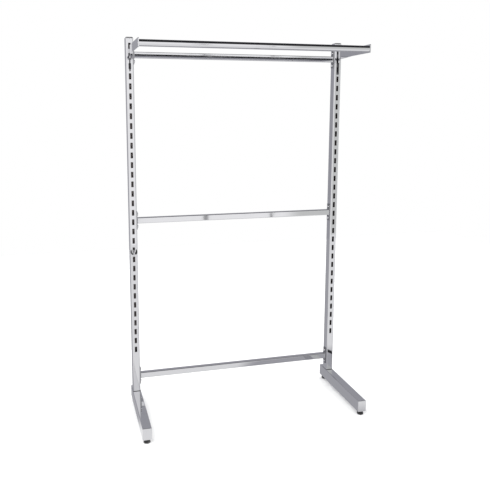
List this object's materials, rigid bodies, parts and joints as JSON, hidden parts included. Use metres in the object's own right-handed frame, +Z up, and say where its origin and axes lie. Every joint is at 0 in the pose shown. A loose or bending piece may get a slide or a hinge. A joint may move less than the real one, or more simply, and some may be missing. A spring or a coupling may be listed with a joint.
{
  "type": "slotted garment display stand",
  "caption": "Free-standing chrome garment stand: slotted box uprights on forward legs, square crossbars, and a round hang rail on hooked arms.",
  "frame": {"origin": "on the floor under the middle of the stand's outer box", "axes": "+Z up along the uprights, -Y towards the hang rail and the legs' long ends, +X along the rail to the right as seen from the front"},
  "size_m": [1.186, 0.5, 1.965],
  "materials": {
    "chrome": "bright chrome plate on steel tube and plate",
    "bolt_chrome": "bright plated screw heads",
    "zinc_steel": "zinc plated, fine machining marks",
    "bare_steel": "plain rolled steel",
    "foot_plastic": "black moulded plastic, satin"
  },
  "bodies": {
    "frame": {"bar_bolts_left": "bolt_chrome", "bar_bolts_right": "bolt_chrome", "bar_inserts_left": "zinc_steel", "bar_inserts_right": "zinc_steel", "crossbar_bottom": "chrome", "crossbar_middle": "chrome", "crossbar_top": "chrome", "end_plate_bottom_left": "chrome", "end_plate_bottom_right": "chrome", "end_plate_middle_left": "chrome", "end_plate_middle_right": "chrome", "end_plate_top_left": "chrome", "end_plate_top_right": "chrome", "foot_insert_front_left": "zinc_steel", "foot_insert_front_right": "zinc_steel", "foot_insert_rear_left": "zinc_steel", "foot_insert_rear_right": "zinc_steel", "leg_cap_front_left": "chrome", "leg_cap_front_right": "chrome", "leg_cap_rear_left": "chrome", "leg_cap_rear_right": "chrome", "leg_left": "chrome", "leg_right": "chrome", "spigot_left": "bare_steel", "spigot_right": "bare_steel", "spigot_screws_left": "bolt_chrome", "spigot_screws_right": "bolt_chrome", "upright_cap_left": "chrome", "upright_cap_right": "chrome", "upright_left": "chrome", "upright_right": "chrome"},
    "rail_unit": {"arm_left": "chrome", "arm_right": "chrome", "hang_rail": "chrome", "rail_plug_left": "zinc_steel", "rail_plug_right": "zinc_steel", "rail_screw_left": "bolt_chrome", "rail_screw_right": "bolt_chrome"},
    "slot_hook": {"slot_hook": "chrome"},
    "foot_pad_front_left": {"foot_pad_front_left": "foot_plastic"},
    "foot_pad_front_right": {"foot_pad_front_right": "foot_plastic"},
    "foot_pad_rear_left": {"foot_pad_rear_left": "foot_plastic"},
    "foot_pad_rear_right": {"foot_pad_rear_right": "foot_plastic"},
    "foot_stud_front_left": {"foot_stud_front_left": "zinc_steel"},
    "foot_stud_front_right": {"foot_stud_front_right": "zinc_steel"},
    "foot_stud_rear_left": {"foot_stud_rear_left": "zinc_steel"},
    "foot_stud_rear_right": {"foot_stud_rear_right": "zinc_steel"}
  },
  "joints": [
    {"name": "rail_lift", "type": "slide", "parent": "frame", "child": "rail_unit", "axis": [0, 0, 1], "range_m": [0, 0.012]},
    {"name": "hook_lift", "type": "slide", "parent": "frame", "child": "slot_hook", "axis": [0, 0, 1], "range_m": [0, 0.012]},
    {"name": "foot_travel_front_left", "type": "slide", "parent": "frame", "child": "foot_pad_front_left", "axis": [0, 0, -1], "range_m": [0, 0.012]},
    {"name": "stud_turn_front_left", "type": "hinge", "parent": "foot_pad_front_left", "child": "foot_stud_front_left", "pos_m": [-0.57, -0.23, 0.02], "axis": [0, 0, -1], "range_deg": [0, 3456]},
    {"name": "foot_travel_front_right", "type": "slide", "parent": "frame", "child": "foot_pad_front_right", "axis": [0, 0, -1], "range_m": [0, 0.012]},
    {"name": "stud_turn_front_right", "type": "hinge", "parent": "foot_pad_front_right", "child": "foot_stud_front_right", "pos_m": [0.57, -0.23, 0.02], "axis": [0, 0, -1], "range_deg": [0, 3456]},
    {"name": "foot_travel_rear_left", "type": "slide", "parent": "frame", "child": "foot_pad_rear_left", "axis": [0, 0, -1], "range_m": [0, 0.012]},
    {"name": "stud_turn_rear_left", "type": "hinge", "parent": "foot_pad_rear_left", "child": "foot_stud_rear_left", "pos_m": [-0.57, 0.23, 0.02], "axis": [0, 0, -1], "range_deg": [0, 3456]},
    {"name": "foot_travel_rear_right", "type": "slide", "parent": "frame", "child": "foot_pad_rear_right", "axis": [0, 0, -1], "range_m": [0, 0.012]},
    {"name": "stud_turn_rear_right", "type": "hinge", "parent": "foot_pad_rear_right", "child": "foot_stud_rear_right", "pos_m": [0.57, 0.23, 0.02], "axis": [0, 0, -1], "range_deg": [0, 3456]}
  ],
  "couplings": [
    {"joint": "stud_turn_front_left", "follows": "foot_travel_front_left", "rad_per_m": 5026.5},
    {"joint": "stud_turn_front_right", "follows": "foot_travel_front_right", "rad_per_m": 5026.5},
    {"joint": "stud_turn_rear_left", "follows": "foot_travel_rear_left", "rad_per_m": 5026.5},
    {"joint": "stud_turn_rear_right", "follows": "foot_travel_rear_right", "rad_per_m": 5026.5}
  ]
}
